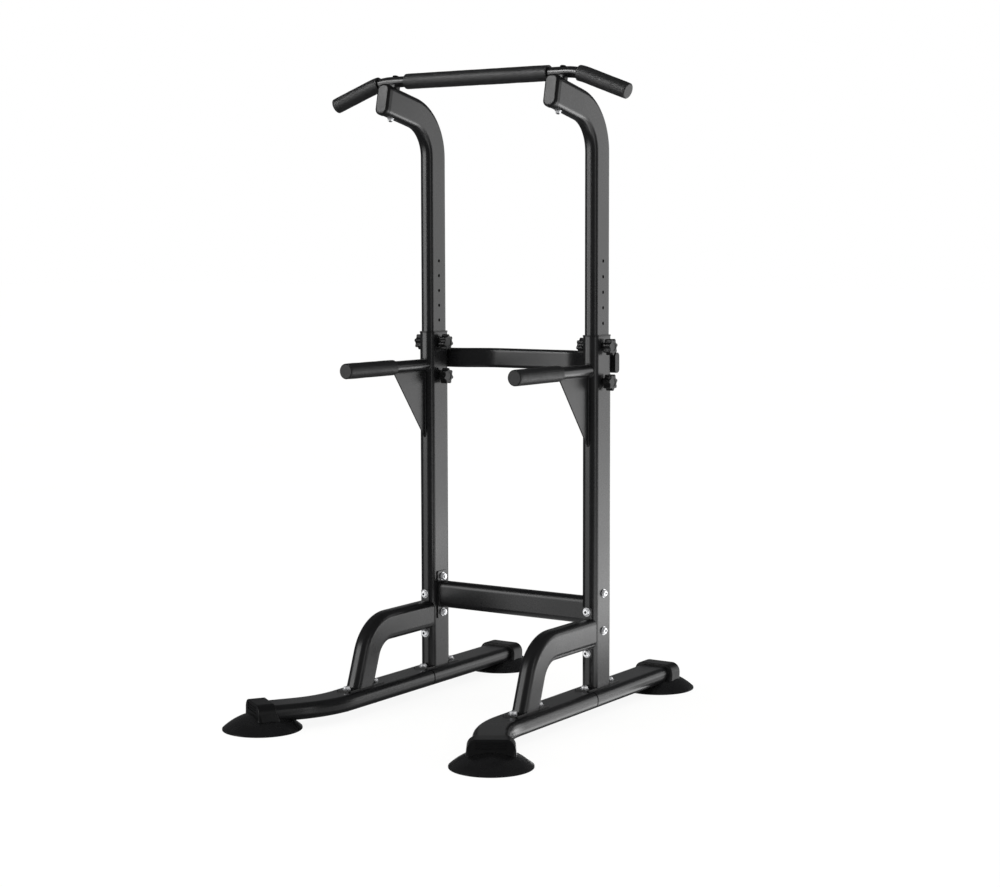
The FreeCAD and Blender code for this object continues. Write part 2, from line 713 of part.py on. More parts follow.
def rear_brace():
    tube = oval_tube(BRACE_OVAL, brace_points(), BRACE_BEND_RADIUS, Y_AXIS)
    front = UPRIGHT_OVAL[1] / 2 - 1
    back = UPRIGHT_OVAL[1] / 2 + BRACE_OVAL[0] + 1
    holes = []
    for x, z in brace_bolt_places():
        for side in (1, -1):
            holes.append(rod(M8 + HOLE_CLEARANCE, vec(side * x, front, z), vec(side * x, back, z)))
    return tube.cut(holes)


def brace_plug():
    """End cap pushed into the right-hand end of the rear brace."""
    thickness, height, corner = BRACE_OVAL
    end = vec(BRACE_END_X - PLUG_FACE, brace_points()[0].y, BRACE_Z)
    face = prism(rounded_rect(thickness, height, corner), end, Y_AXIS, X_AXIS, PLUG_FACE)
    rim = [edge for edge in face.Edges if abs(edge.BoundBox.XMin - BRACE_END_X) < 1e-3]
    face = face.makeFillet(PLUG_EDGE, rim)
    inset = WALL + FIT_GAP
    stem = prism(rounded_rect(thickness - 2 * inset, height - 2 * inset, corner - inset),
                 end - X_AXIS * BRACE_PLUG_STEM, Y_AXIS, X_AXIS, BRACE_PLUG_STEM + 1)
    return fused([face, stem])


# Upper frame

def upper_direction():
    return vec(0, -math.cos(UPPER_TILT), math.sin(UPPER_TILT))


def upper_normal():
    """Up, square to the forward end of the upper tube."""
    return vec(0, math.sin(UPPER_TILT), math.cos(UPPER_TILT))


def upper_end(set_back):
    """Point on the tube's axis, `set_back` behind the front face of its end cap."""
    corner = vec(UPRIGHT_X, 0, UPPER_CORNER_Z)
    return corner + upper_direction() * (UPPER_REACH - set_back)


def upper_points():
    return [vec(UPRIGHT_X, 0, UPPER_BOTTOM_Z), vec(UPRIGHT_X, 0, UPPER_CORNER_Z),
            upper_end(END_CAP_FACE)]


def bar_centre():
    offset = UPPER_OVAL[1] / 2 + SADDLE_THICK + BAR_RADIUS
    return upper_end(BAR_BACK) + upper_normal() * offset


def bar_fastening():
    """The long bolt down through bar, saddle and tube."""
    top = bar_centre() + upper_normal() * BAR_RADIUS
    grip = 2 * BAR_RADIUS + SADDLE_THICK + UPPER_OVAL[1]
    return Fastening(M8, top, upper_normal() * -1, grip)


BAR_FASTENING = bar_fastening()


def bar_bolt():
    top = bar_centre() + upper_normal() * BAR_RADIUS
    length = 2 * BAR_RADIUS + SADDLE_THICK + UPPER_OVAL[1] + WASHER + BOLT_OVERRUN * M8
    return mushroom_bolt(M8, top, upper_normal() * -1, length)


def upper_tube():
    tube = oval_tube(UPPER_OVAL, upper_points(), UPPER_BEND_RADIUS, X_AXIS)
    heights = [TOP_HOLE_Z - HOLE_PITCH * index for index in range(HOLE_COUNT)]
    heights += KNOB_HEIGHTS.values()
    half = UPPER_OVAL[0] / 2 + 1
    holes = [rod(HOLE_RADIUS, vec(UPRIGHT_X - half, 0, z), vec(UPRIGHT_X + half, 0, z))
             for z in heights]
    return tube.cut(holes + [BAR_FASTENING.hole])


def upper_end_cap():
    width, depth, corner = UPPER_OVAL
    grow = END_CAP_GROW
    inward = upper_direction() * -1
    outline = rounded_rect(width + grow, depth + grow, corner + grow / 2)
    block = prism(outline, upper_end(0), X_AXIS, inward, END_CAP_DEPTH)
    face_point = upper_end(0)
    rim = [edge for edge in block.Edges
           if abs((edge.BoundBox.Center - face_point).dot(inward)) < 0.5]
    block = block.makeFillet(END_CAP_EDGE, rim)
    return block.cut(oval_solid(UPPER_OVAL, upper_points(), UPPER_BEND_RADIUS, X_AXIS, -FIT_GAP))


def bar_fall():
    """Direction in which the bar's ends drop: down, leaning forward."""
    return vec(0, -math.sin(BAR_LEAN), -math.cos(BAR_LEAN))


def bar_heading(turn):
    """Direction of the bar's axis once it has turned down by an angle."""
    return X_AXIS * math.cos(turn) + bar_fall() * math.sin(turn)


def bar_points():
    centre = bar_centre()
    slope = bar_heading(BAR_DROP)
    bend = vec(BAR_BEND_X, centre.y, centre.z)
    tip = bend + slope * ((BAR_TIP_X - BAR_BEND_X) / slope.x)
    return bend, slope, tip


def flipped(point):
    return vec(-point.x, point.y, point.z)


def bar_line():
    bend, slope, tip = bar_points()
    end = tip - slope * PLUG_FACE
    return [flipped(end), flipped(bend), bend, end]


def bar_space(radius):
    """Solid of a given radius along the whole bar."""
    return sweep(circle(radius), bar_line(), BAR_BEND_RADIUS, Y_AXIS)


def pull_up_bar():
    tube = bar_space(BAR_RADIUS).cut(bar_space(BAR_RADIUS - WALL))
    return tube.cut(both_sides(BAR_FASTENING.hole))


def bar_saddle():
    """Cradle between the bar and the upper tube, hollowed above and below to fit them."""
    normal = upper_normal()
    base = upper_end(BAR_BACK) + normal * (UPPER_OVAL[1] / 2 - SADDLE_WRAP)
    outline = rounded_rect(*SADDLE_SIZE, PLATE_CORNER)
    block = prism(outline, base, X_AXIS, normal, 2 * SADDLE_WRAP + SADDLE_THICK)
    tube_space = oval_solid(UPPER_OVAL, upper_points(), UPPER_BEND_RADIUS, X_AXIS, -FIT_GAP)
    return largest(block.cut([tube_space, bar_space(BAR_RADIUS + FIT_GAP), BAR_FASTENING.hole]))


def centre_grip():
    centre = bar_centre()
    left = vec(-CENTRE_GRIP_HALF, centre.y, centre.z)
    right = vec(CENTRE_GRIP_HALF, centre.y, centre.z)
    return ring(GRIP_RADIUS, BAR_RADIUS + FIT_GAP, left, right)


def side_grip():
    """Sleeve over the bar's right end, following the last part of its bend."""
    bend, slope, tip = bar_points()
    end = tip - slope * GRIP_SHORT
    cap_seat = rod(GRIP_RADIUS - GRIP_RIM, end + slope, end - slope * (PLUG_FACE - GRIP_SHORT))
    bend_start = bend - X_AXIS * (BAR_BEND_RADIUS * math.tan(BAR_DROP / 2))
    turn = math.asin((SIDE_GRIP_X - bend_start.x) / BAR_BEND_RADIUS)
    drop = BAR_BEND_RADIUS * (1 - math.cos(turn))
    start = vec(SIDE_GRIP_X, bend.y, bend.z) + bar_fall() * drop
    inner_part = rod(3 * GRIP_RADIUS, start - bar_heading(turn) * bend_start.x, start)
    sleeve = sweep(circle(GRIP_RADIUS), [bend_start - X_AXIS, bend, end], BAR_BEND_RADIUS, Y_AXIS)
    return largest(sleeve.cut([inner_part, bar_space(BAR_RADIUS + FIT_GAP), cap_seat]))


def bar_plug():
    _, slope, tip = bar_points()
    return tube_plug(BAR_RADIUS - WALL, GRIP_RADIUS - GRIP_RIM - FIT_GAP, tip, slope * -1)


# Assembly

def add_pair(nodes, name, solid):
    nodes[name + "_right"] = [solid]
    nodes[name + "_left"] = [mirrored(solid)]


def mirrored_group(solids):
    group = []
    for solid in solids:
        group += both_sides(solid)
    return group


def build_nodes():
    nodes = {}
    front_points = front_base_points()
    rear_points = rear_base_points()
    screw_places = [(FRONT_CUP[0], FRONT_CUP[1]), REAR_CUP]
    hole_top = BASE_TOP - SCREW_HOLE_STOP
    screw_holes = [rod(CUP_SCREW_RADIUS + HOLE_CLEARANCE, vec(x, y, 0), vec(x, y, hole_top))
                   for x, y in screw_places]
    add_pair(nodes, "base_tube_front",
             drilled(base_tube(front_points), BASE_FASTENINGS[2:]).cut(screw_holes))
    add_pair(nodes, "base_tube_rear",
             drilled(base_tube(rear_points), BASE_FASTENINGS[:2]).cut(screw_holes))
    nodes["base_joiners"] = both_sides(base_joiner())
    screws = []
    feet = (("front", FRONT_CUP, front_direction(), front_points),
            ("rear", REAR_CUP, Y_AXIS, rear_points))
    for name, place_xy, direction, points in feet:
        cap, cup, screw = foot(place_xy, direction, points)
        add_pair(nodes, "foot_cap_" + name, cap)
        add_pair(nodes, "suction_cup_" + name, cup)
        screws.append(screw)
    nodes["cup_screws"] = mirrored_group(screws)

    add_pair(nodes, "upright", upright())
    add_pair(nodes, "guide_bushing", guide_bushing())
    add_pair(nodes, "dip_handle", dip_handle())
    add_pair(nodes, "dip_gusset", gusset())
    add_pair(nodes, "dip_grip", dip_grip())
    nodes["dip_handle_plugs"] = both_sides(dip_plug())
    add_pair(nodes, "strut", strut())
    nodes["crossbar"] = [crossbar()]
    nodes["rear_brace"] = [rear_brace()]
    nodes["brace_plugs"] = both_sides(brace_plug())

    bosses = []
    for name, centre, outward in knob_axes():
        add_pair(nodes, "knob_" + name, knob(centre, outward))
        bosses.append(knob_boss(centre, outward))
    nodes["knob_bosses"] = mirrored_group(bosses)

    brace_bolts, brace_washers = brace_bolts_and_washers()
    through = {"base": BASE_FASTENINGS, "crossbar": CROSSBAR_FASTENINGS, "strut": STRUT_FASTENINGS}
    washers = brace_washers
    nuts = []
    for name, items in through.items():
        nodes[name + "_bolts"] = mirrored_group([item.bolt for item in items])
        for item in items:
            washers += item.washers
            nuts.append(item.nut)
    nodes["brace_bolts"] = mirrored_group(brace_bolts)
    nodes["frame_washers"] = mirrored_group(washers)
    nodes["frame_nuts"] = mirrored_group(nuts)

    add_pair(nodes, "upper_tube", upper_tube())
    add_pair(nodes, "upper_end_cap", upper_end_cap())
    nodes["pull_up_bar"] = [pull_up_bar()]
    nodes["bar_saddles"] = both_sides(bar_saddle())
    nodes["centre_grip"] = [centre_grip()]
    add_pair(nodes, "side_grip", side_grip())
    nodes["bar_plugs"] = both_sides(bar_plug())
    nodes["bar_bolts"] = both_sides(bar_bolt())
    nodes["bar_washers"] = both_sides(BAR_FASTENING.washers[1])
    nodes["bar_nuts"] = both_sides(BAR_FASTENING.nut)
    return nodes


def export(nodes):
    os.makedirs("parts", exist_ok=True)
    for name, solids in nodes.items():
        shape = solids[0] if len(solids) == 1 else Part.makeCompound(solids)
        shape = shape.copy()
        shape.translate(vec(0, FOOTPRINT_SHIFT_Y, 0))
        shape.exportStep(os.path.join("parts", name + ".step"))
        print(name, len(shape.Solids), "valid" if shape.isValid() else "INVALID",
              round(shape.Volume / 1000, 1), "cm3")


export(build_nodes())
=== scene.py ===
import json
import math

import bpy
import numpy as np
from mathutils import Matrix, Vector, noise

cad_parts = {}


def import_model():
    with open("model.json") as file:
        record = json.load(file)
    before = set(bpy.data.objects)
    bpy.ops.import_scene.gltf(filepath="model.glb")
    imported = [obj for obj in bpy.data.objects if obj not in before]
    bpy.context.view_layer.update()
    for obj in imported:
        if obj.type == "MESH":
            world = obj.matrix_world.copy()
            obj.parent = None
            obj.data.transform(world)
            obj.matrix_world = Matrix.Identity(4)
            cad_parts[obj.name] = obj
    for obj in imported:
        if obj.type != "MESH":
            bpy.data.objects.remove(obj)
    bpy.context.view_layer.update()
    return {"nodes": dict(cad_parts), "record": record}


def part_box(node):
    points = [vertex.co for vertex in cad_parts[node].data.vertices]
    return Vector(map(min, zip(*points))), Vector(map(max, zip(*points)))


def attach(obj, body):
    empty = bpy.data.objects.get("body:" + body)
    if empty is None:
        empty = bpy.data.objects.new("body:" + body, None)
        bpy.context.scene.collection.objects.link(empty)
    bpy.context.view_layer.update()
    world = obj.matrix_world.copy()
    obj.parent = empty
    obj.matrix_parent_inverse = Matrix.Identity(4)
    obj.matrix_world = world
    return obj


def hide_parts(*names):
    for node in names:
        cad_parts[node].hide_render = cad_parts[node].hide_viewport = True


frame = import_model()

# Sizes of the CAD parts, in metres

# Flanges and foot plates, the tubes' corners, and how far a guide bushing stands out past its upright
PLATE = 0.004
TUBE_CORNER = 0.020
BUSHING_LIP = 0.001

# The crossbar's height and its section
CROSSBAR_Z = 0.297
CROSSBAR_HALF_Y = 0.020
CROSSBAR_HALF_Z = 0.041
CROSSBAR_CORNER = 0.018

# Where a strut meets its upright and, from the upright's axis, its base tube; half its depth at both
STRUT_Z = 0.237
STRUT_FOOT_Y = -0.385
STRUT_HALF = 0.044
STRUT_HALF_FOOT = 0.0467

# The seam across each base tube: its place, half its width, and the height up to which it shows
SEAM_Y = 0.0937
SEAM_HALF = 0.0038
BASE_TOP = 0.0714

# The knobs' two levels and the bosses under them
KNOB_Z = (1.0745, 0.9715)
BOSS_RADIUS = 0.011

# The bar's right end: its bend's corner, how far it turns down and to the front, and the grip on it
BAR_BEND_X = 0.3386
BAR_BEND_RADIUS = 0.200
BAR_DROP = math.radians(20.7)
BAR_LEAN = math.radians(5.3)
SIDE_GRIP_X = 0.3445
SIDE_GRIP_TIP_X = 0.5035

NODES = frame["nodes"]
X = Vector((1, 0, 0))
Y = Vector((0, 1, 0))
Z = Vector((0, 0, 1))

# Steps of each rounded corner and of the bar's bend
ARC_STEPS = 8


# Materials

class Shader:
    """A material with one Principled shader, and short calls for the nodes that feed it."""

    def __init__(self, name, **inputs):
        self.material = bpy.data.materials.new(name)
        self.material.use_nodes = True
        self.tree = self.material.node_tree
        self.main = self.tree.nodes["Principled BSDF"]
        for key, value in inputs.items():
            self.main.inputs[key.replace("_", " ")].default_value = value
        self.place = self.tree.nodes.new("ShaderNodeTexCoord").outputs["Object"]

    def node(self, kind, **inputs):
        made = self.tree.nodes.new("ShaderNode" + kind)
        for key, value in inputs.items():
            socket = made.inputs[key.replace("_", " ")]
            if isinstance(value, bpy.types.NodeSocket):
                self.tree.links.new(value, socket)
            else:
                socket.default_value = value
        return made

    def link(self, output, name):
        self.tree.links.new(output, self.main.inputs[name])

    def stretched(self, scale):
        mapping = self.node("Mapping", Vector=self.place)
        mapping.inputs["Scale"].default_value = scale
        return mapping.outputs["Vector"]

    def noise(self, scale, detail=2.0, roughness=0.5, at=None):
        return self.node("TexNoise", Vector=at or self.place, Scale=scale, Detail=detail,
                         Roughness=roughness).outputs["Fac"]

    def cells(self, scale, randomness=1.0):
        return self.node("TexVoronoi", Vector=self.place, Scale=scale,
                         Randomness=randomness).outputs["Distance"]

    def spread(self, value, low, high, start=0.3, end=0.7):
        """A value from 0 to 1 stretched between two numbers."""
        made = self.node("MapRange", Value=value)
        for key, number in (("From Min", start), ("From Max", end), ("To Min", low), ("To Max", high)):
            made.inputs[key].default_value = number
        return made.outputs["Result"]

    def blend_colours(self, value, dark, light, start=0.3, end=0.7):
        ramp = self.tree.nodes.new("ShaderNodeValToRGB")
        ramp.color_ramp.elements[0].position = start
        ramp.color_ramp.elements[0].color = (*dark, 1)
        ramp.color_ramp.elements[1].position = end
        ramp.color_ramp.elements[1].color = (*light, 1)
        self.tree.links.new(value, ramp.inputs["Fac"])
        return ramp.outputs["Color"]

    def maths(self, operation, first, second=0.0):
        made = self.node("Math")
        made.operation = operation
        for socket, value in zip(made.inputs, (first, second)):
            if isinstance(value, bpy.types.NodeSocket):
                self.tree.links.new(value, socket)
            else:
                socket.default_value = value
        return made.outputs[0]

    def shaded(self, colour, share, dark):
        """The colour, turned to `dark` where `share` is 1."""
        made = self.tree.nodes.new("ShaderNodeMix")
        made.data_type = "RGBA"
        # The Mix node's colour sockets go by number, because others have the same names
        first, second, result = made.inputs[6], made.inputs[7], made.outputs[2]
        self.tree.links.new(share, made.inputs["Factor"])
        self.tree.links.new(colour, first)
        second.default_value = (*dark, 1)
        return result

    def mix(self, first, second, share):
        made = self.tree.nodes.new("ShaderNodeMix")
        made.data_type = "FLOAT"
        made.inputs["Factor"].default_value = share
        self.tree.links.new(first, made.inputs["A"])
        self.tree.links.new(second, made.inputs["B"])
        return made.outputs["Result"]

    def bump(self, height, depth, strength, under=None):
        made = self.node("Bump", Height=height, Distance=depth, Strength=strength)
        if under is not None:
            self.tree.links.new(under, made.inputs["Normal"])
        return made.outputs["Normal"]


def powder_coat():
    """Satin black powder coat: a fine orange peel and faint mottling. A base tube's open seam is dull."""
    s = Shader("powder_coat", Metallic=0.0, IOR=1.52)
    broad = s.noise(5.0, 3.0)
    peel = s.noise(620.0, 2.0)
    grit = s.noise(2400.0, 1.0)
    tone = s.mix(broad, s.noise(160.0, 4.0), 0.45)
    s.link(s.blend_colours(tone, (0.0038, 0.0038, 0.0041), (0.0072, 0.0072, 0.0076)), "Base Color")
    s.link(s.spread(s.mix(broad, peel, 0.4), 0.24, 0.34), "Roughness")

    # 0 on the seam up to BASE_TOP, 1 elsewhere
    split = s.node("SeparateXYZ", Vector=s.place)
    across_seam = s.maths("ABSOLUTE", s.maths("SUBTRACT", split.outputs["Y"], SEAM_Y))
    clear = s.maths("MAXIMUM", s.spread(across_seam, 0.0, 1.0, SEAM_HALF * 0.5, SEAM_HALF),
                    s.maths("GREATER_THAN", split.outputs["Z"], BASE_TOP))
    s.link(s.spread(clear, 0.0, 0.5, 0.0, 1.0), "Specular IOR Level")
    s.link(s.bump(grit, 0.00003, 0.25, s.bump(peel, 0.00012, 0.35)), "Normal")
    return s.material


def foam():
    """Closed-cell foam sleeve: matte, with open pores and a slightly uneven skin."""
    s = Shader("foam", Specular_IOR_Level=0.42)
    pores = s.cells(900.0)
    skin = s.noise(70.0, 5.0, 0.6)
    tone = s.mix(skin, s.noise(1500.0, 2.0), 0.5)
    s.link(s.blend_colours(tone, (0.006, 0.006, 0.0063), (0.013, 0.013, 0.0135)), "Base Color")
    s.link(s.spread(skin, 0.42, 0.55), "Roughness")
    deep = s.bump(skin, 0.0005, 0.22)
    s.link(s.bump(pores, 0.0003, 0.35, deep), "Normal")
    return s.material


def moulded_plastic(name, grain, dark, light, low, high):
    """Black moulded plastic with an etched grain."""
    s = Shader(name, IOR=1.49, Specular_IOR_Level=0.32)
    fine = s.noise(grain, 3.0, 0.6)
    broad = s.noise(14.0, 3.0)
    s.link(s.blend_colours(s.mix(broad, fine, 0.5), dark, light), "Base Color")
    s.link(s.spread(s.mix(broad, fine, 0.5), low, high), "Roughness")
    s.link(s.bump(fine, 0.00012, 0.2), "Normal")
    return s.material


def cup_rubber():
    """Smooth soft rubber with dust and faint flow marks."""
    s = Shader("cup_rubber", IOR=1.5)
    dust = s.noise(28.0, 6.0, 0.65)
    flow = s.noise(9.0, 2.0, at=s.stretched((1.0, 1.0, 6.0)))
    s.link(s.blend_colours(s.mix(dust, flow, 0.4), (0.0035, 0.0035, 0.0038), (0.0075, 0.0075, 0.0078)),
           "Base Color")
    s.link(s.spread(dust, 0.2, 0.3), "Roughness")
    s.link(s.bump(s.noise(420.0, 3.0), 0.0001, 0.25, s.bump(flow, 0.0008, 0.2)), "Normal")
    return s.material


def zinc_steel():
    """Bright zinc plate with fine turning marks and light stains, and painted shade that darkens its
    hollows.
    """
    s = Shader("zinc_steel", Metallic=0.55)
    stain = s.noise(220.0, 4.0, 0.6)
    marks = s.noise(900.0, 2.0, at=s.stretched((1.0, 1.0, 7.0)))
    # Painted shade: ambient occlusion turns the plate colour nearly black in the head's socket and other
    # hollows
    hollow = s.node("AmbientOcclusion", Distance=0.008)
    hollow.samples = 8
    painted_hollow_shade = s.spread(hollow.outputs["AO"], 1.0, 0.0, 0.4, 0.85)
    plate = s.blend_colours(stain, (0.72, 0.73, 0.75), (0.9, 0.9, 0.91))
    s.link(s.shaded(plate, painted_hollow_shade, (0.01, 0.01, 0.011)), "Base Color")
    s.link(s.spread(s.mix(stain, marks, 0.5), 0.2, 0.36), "Roughness")
    s.link(s.bump(marks, 0.00006, 0.3), "Normal")
    return s.material


MATERIALS = {
    "powder_coat": powder_coat(),
    "foam": foam(),
    "black_plastic": moulded_plastic("black_plastic", 1500.0, (0.003, 0.003, 0.0032),
                                     (0.006, 0.006, 0.0063), 0.3, 0.42),
    "knob_plastic": moulded_plastic("knob_plastic", 2100.0, (0.0045, 0.0045, 0.0048),
                                    (0.0085, 0.0085, 0.0088), 0.32, 0.44),
    "cup_rubber": cup_rubber(),
    "zinc_steel": zinc_steel(),
}


def finish_piece(piece, slot, body):
    piece.data.materials.append(MATERIALS[slot])
    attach(piece, body)


def paint_cad_nodes():
    """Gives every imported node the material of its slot."""
    for part in frame["record"]["subparts"]:
        for place in NODES[part["node"]].material_slots:
            place.material = MATERIALS[part["material_slot"]]


# Mesh building

def mesh_piece(name, points, faces):
    mesh = bpy.data.meshes.new(name)
    mesh.from_pydata([tuple(p) for p in points], [], faces)
    mesh.validate()
    mesh.polygons.foreach_set("use_smooth", [True] * len(mesh.polygons))
    mesh.update()
    piece = bpy.data.objects.new(name, mesh)
    bpy.context.collection.objects.link(piece)
    return piece


def grid_faces(rows, columns, closed_rows=False):
    """Quads between rings of points, each ring closed on itself."""
    faces = []
    for row in range(rows if closed_rows else rows - 1):
        after = (row + 1) % rows
        for column in range(columns):
            beside = (column + 1) % columns
            faces.append((row * columns + column, row * columns + beside,
                          after * columns + beside, after * columns + column))
    return faces


FIT_ROUNDS = 4
END_SLICE = 0.0005


def axis_of(node, direction):
    """Two ends, outer and inner radius of a packed sleeve whose axis is near `direction`."""
    vertices = NODES[node].data.vertices
    flat = np.empty(len(vertices) * 3)
    vertices.foreach_get("co", flat)
    points = np.unique(flat.reshape(-1, 3).round(6), axis=0)
    middle = points.mean(0)
    for _ in range(FIT_ROUNDS):
        along = (points - middle) @ np.array(direction)
        first = points[along < along.min() + END_SLICE].mean(0)
        last = points[along > along.max() - END_SLICE].mean(0)
        direction = (last - first) / np.linalg.norm(last - first)
        middle = (first + last) / 2
    offset = points - middle
    radial = np.linalg.norm(offset - np.outer(offset @ direction, direction), axis=1)
    return Vector(first), Vector(last), radial.max(), radial.min()


# Foam sleeves: points around and along, the round outer edge, the bore's edge, the seat cut for a plug
FOAM_STEPS = 72
SKIN_PITCH = 0.005
FOAM_EDGE = 0.0028
EDGE_STEPS = 6
BORE_EDGE = 0.0008
SEAT_DEPTH = 0.003
SEAT_WALL = 0.0024
SEAT_EDGE = 0.0004

# Their skin: depth and frequency of its waves, and the squeeze at the ends
SKIN_DEPTH = 0.0002
WAVES = ((0.00035, 28), (0.00016, 95))
SQUEEZE = 0.0005
SQUEEZE_REACH = 0.006


def foam_profile(length, outer, inner, plugged_start, plugged_end):
    """Radius and distance along a sleeve, from its bore at one end over the outside to the other."""
    def end(plugged):
        if plugged:
            seat = outer - SEAT_WALL
            points = [(inner, SEAT_DEPTH), (seat, SEAT_DEPTH), (seat, SEAT_EDGE)]
            edge = min(FOAM_EDGE, SEAT_WALL)
        else:
            points = [(inner, BORE_EDGE), (inner + BORE_EDGE, 0.0)]
            edge = FOAM_EDGE
        for step in range(EDGE_STEPS + 1):
            angle = math.pi / 2 * step / EDGE_STEPS
            points.append((outer - edge + edge * math.sin(angle), edge - edge * math.cos(angle)))
        return points

    count = max(4, round(length / SKIN_PITCH))
    middle = []
    for step in range(1, count):
        t = step / count
        middle.append((outer, FOAM_EDGE + (length - 2 * FOAM_EDGE) * t))
    tail = [(radius, length - along) for radius, along in reversed(end(plugged_end))]
    return end(plugged_start) + middle + tail


def place_on(line, distance):
    """The point a distance along a line of points, and the line's direction there."""
    for start, end in zip(line, line[1:]):
        span = (end - start).length
        if distance <= span or end is line[-1]:
            return start + (end - start) * (distance / span), (end - start) / span
        distance -= span


def foam_sleeve(name, node, line, outer, inner, plugged, body):
    """A foam grip pulled over its tube: rounded ends, a shallow waviness and a slight squeeze."""
    length = sum((end - start).length for start, end in zip(line, line[1:]))
    reference = (line[-1] - line[0]).orthogonal().normalized()
    points = []
    rings = foam_profile(length, outer, inner, *plugged)
    for radius, distance in rings:
        base, along = place_on(line, distance)
        across = (reference - along * reference.dot(along)).normalized()
        beside = along.cross(across)
        for step in range(FOAM_STEPS):
            angle = 2 * math.pi * step / FOAM_STEPS
            outward = across * math.cos(angle) + beside * math.sin(angle)
            wave = 0.0
            if radius > outer - SKIN_DEPTH:
                spot = base + outward * radius
                wave = sum(depth * noise.noise(spot * frequency) for depth, frequency in WAVES)
                near_end = min(distance, length - distance)
                wave -= SQUEEZE * math.exp(-near_end / SQUEEZE_REACH)
            points.append(base + outward * (radius + wave))
    piece = mesh_piece(name, points, grid_faces(len(rings), FOAM_STEPS))
    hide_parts(node)
    finish_piece(piece, "foam", body)


# Weld beads of the steel frame

# Points around a bead, the length of a ripple and the points along it
BEAD_STEPS = 10
RIPPLE = 0.0042
RIPPLE_STEPS = 4

# How much ripples and noise swell a bead, and how thin its tips are and for how many points
SCALLOP = 0.13
UNEVENNESS = 0.1
UNEVENNESS_FREQUENCY = 300
TIP_SHARE = 0.25
TIP_STEPS = 6
SHORTEST_SPAN = 1e-9

# Radii of the beads
HANDLE_BEAD = 0.0026
GUSSET_BEAD = 0.0019
CROSSBAR_BEAD = 0.0021
TUBE_BEAD = 0.0022
BOSS_BEAD = 0.0011

# Points of the round welds, how far the handle's stands proud, how far the gusset's keep from its corners
HANDLE_BEAD_STEPS = 48
BOSS_STEPS = 32
HANDLE_BEAD_LIFT = 0.0004
GUSSET_SETBACK = 0.004

# The strut's top is cut back at its sides, so its bead leaves out this many points at each end
COPE_POINTS = 3


def resampled(path, closed, pitch):
    """The same line with evenly spaced points."""
    points = path + path[:1] if closed else path
    lengths = [0.0]
    for a, b in zip(points, points[1:]):
        lengths.append(lengths[-1] + (b - a).length)
    count = max(4, round(lengths[-1] / pitch))
    made = []
    index = 0
    for step in range(count if closed else count + 1):
        target = lengths[-1] * step / count
        while index < len(points) - 2 and lengths[index + 1] < target:
            index += 1
        span = lengths[index + 1] - lengths[index]
        share = (target - lengths[index]) / max(span, SHORTEST_SPAN)
        made.append(points[index].lerp(points[index + 1], share))
    return made


def bead(path, radius, closed):
    """Points and faces of a rippled weld bead along a line."""
    line = resampled(path, closed, RIPPLE / RIPPLE_STEPS)
    count = len(line)
    points = []
    for index, centre in enumerate(line):
        if closed:
            along = (line[(index + 1) % count] - line[index - 1]).normalized()
            taper = 1.0
        else:
            along = (line[min(index + 1, count - 1)] - line[max(index - 1, 0)]).normalized()
            taper = min(1.0, TIP_SHARE + min(index, count - 1 - index) / TIP_STEPS)
        across = along.orthogonal().normalized()
        beside = along.cross(across)
        scallop = 1 + SCALLOP * abs(math.sin(math.pi * index / RIPPLE_STEPS))
        scallop += UNEVENNESS * noise.noise(centre * UNEVENNESS_FREQUENCY)
        for step in range(BEAD_STEPS):
            angle = 2 * math.pi * step / BEAD_STEPS
            outward = across * math.cos(angle) + beside * math.sin(angle)
            points.append(centre + outward * radius * scallop * taper)
    return points, grid_faces(count, BEAD_STEPS, closed)


def bead_piece(name, beads, body):
    """One piece from several beads."""
    points = []
    faces = []
    for path, radius, closed in beads:
        more, made = bead(path, radius, closed)
        faces += [tuple(index + len(points) for index in face) for face in made]
        points += more
    finish_piece(mesh_piece(name, points, faces), "powder_coat", body)


def oval_loop(centre, u, v, half_u, half_v, corner):
    """Rounded rectangle about a point, its sides along u and v."""
    loop = []
    for index, (side_u, side_v) in enumerate(((1, 1), (-1, 1), (-1, -1), (1, -1))):
        for step in range(ARC_STEPS + 1):
            angle = math.pi / 2 * (index + step / ARC_STEPS)
            loop.append(centre + u * (side_u * (half_u - corner) + corner * math.cos(angle))
                        + v * (side_v * (half_v - corner) + corner * math.sin(angle)))
    return loop


def oval_end(centre, u, v, half_u, half_v, corner, sign):
    """The half of such a loop that lies towards +v or -v, without its straight sides."""
    arc = []
    for side in (1, -1):
        for step in range(ARC_STEPS + 1):
            share = step / ARC_STEPS
            angle = math.pi / 2 * (share if side == 1 else 1 - share)
            arc.append(centre + u * side * (half_u - corner + corner * math.cos(angle))
                       + v * sign * (half_v - corner + corner * math.sin(angle)))
    return arc


def corner_depth(x, half_x, corner):
    """How far a flat-oval tube's front face lies behind its foremost line, at x from the middle."""
    past = max(0.0, abs(x) - (half_x - corner))
    return corner - math.sqrt(max(corner ** 2 - past ** 2, 0.0))


